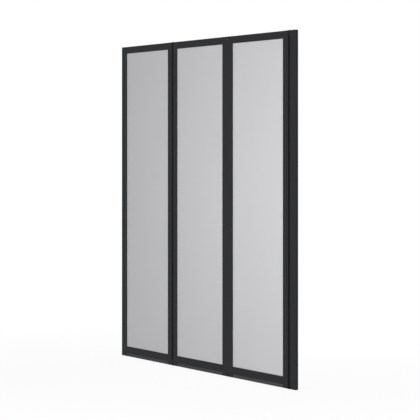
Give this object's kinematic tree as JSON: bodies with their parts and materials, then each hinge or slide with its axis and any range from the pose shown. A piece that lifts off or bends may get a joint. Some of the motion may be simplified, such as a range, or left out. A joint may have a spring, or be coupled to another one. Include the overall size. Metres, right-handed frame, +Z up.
{
  "type": "folding bath screen",
  "caption": "Concertina bath screen: frosted panes in slim black frames that fold together beside a slim wall post.",
  "frame": {"origin": "on the wall plane: lower end of the wall channel's back face, at mid thickness", "axes": "+X out of the channel's back into the wall (the screen reaches to -X), -Y the front of the picture, +Z up"},
  "size_m": [1.2713, 0.0211, 1.402],
  "materials": {
    "satin_black": "satin black powder coat on extruded aluminium",
    "frosted_glass": "toughened glass, satin-etched on one face",
    "gasket_black": "matt black soft extrusion",
    "seal_grey": "satin dark grey soft extrusion",
    "cap_plastic": "moulded, fine grained",
    "washer_nylon": "moulded nylon",
    "die_cast_zinc": "as cast",
    "screw_steel": "stainless, turned",
    "pin_steel": "stainless, drawn bar"
  },
  "bodies": {
    "wall_post": {"wall_channel": "satin_black", "hinge_post": "satin_black", "post_fixing_screws": "screw_steel", "wall_cap_top": "cap_plastic", "wall_cap_bottom": "cap_plastic", "wall_hinge_pin": "pin_steel", "wall_hinge_washers": "washer_nylon", "wall_hinge_seal": "gasket_black", "wall_hinge_caps": "cap_plastic"},
    "inner_panel": {"inner_near_stile": "satin_black", "inner_far_stile": "satin_black", "inner_top_rail": "satin_black", "inner_bottom_rail": "satin_black", "inner_corner_keys": "die_cast_zinc", "inner_key_screws": "screw_steel", "inner_pane": "frosted_glass", "inner_glazing_gasket": "gasket_black", "inner_bottom_seal": "seal_grey", "inner_top_caps": "cap_plastic", "inner_bottom_caps": "cap_plastic", "inner_fold_pin": "pin_steel", "inner_fold_washers": "washer_nylon", "inner_fold_seal": "gasket_black", "inner_fold_caps": "cap_plastic"},
    "middle_panel": {"middle_near_stile": "satin_black", "middle_far_stile": "satin_black", "middle_top_rail": "satin_black", "middle_bottom_rail": "satin_black", "middle_corner_keys": "die_cast_zinc", "middle_key_screws": "screw_steel", "middle_pane": "frosted_glass", "middle_glazing_gasket": "gasket_black", "middle_bottom_seal": "seal_grey", "middle_top_caps": "cap_plastic", "middle_bottom_caps": "cap_plastic", "outer_fold_pin": "pin_steel", "outer_fold_washers": "washer_nylon", "outer_fold_seal": "gasket_black", "outer_fold_caps": "cap_plastic"},
    "outer_panel": {"outer_near_stile": "satin_black", "outer_far_stile": "satin_black", "outer_top_rail": "satin_black", "outer_bottom_rail": "satin_black", "outer_corner_keys": "die_cast_zinc", "outer_key_screws": "screw_steel", "outer_pane": "frosted_glass", "outer_glazing_gasket": "gasket_black", "outer_bottom_seal": "seal_grey", "outer_top_caps": "cap_plastic", "outer_bottom_caps": "cap_plastic", "free_edge_trim": "satin_black"}
  },
  "joints": [
    {"name": "wall_hinge", "type": "hinge", "parent": "wall_post", "child": "inner_panel", "pos_m": [-0.0444, 0.00675, 0], "axis": [0, 0, -1], "range_deg": [0, 90]},
    {"name": "inner_fold", "type": "hinge", "parent": "inner_panel", "child": "middle_panel", "pos_m": [-0.4516, -0.00675, 0], "axis": [0, 0, 1], "range_deg": [0, 180]},
    {"name": "outer_fold", "type": "hinge", "parent": "middle_panel", "child": "outer_panel", "pos_m": [-0.8577, 0.00675, 0], "axis": [0, 0, -1], "range_deg": [0, 180]}
  ]
}
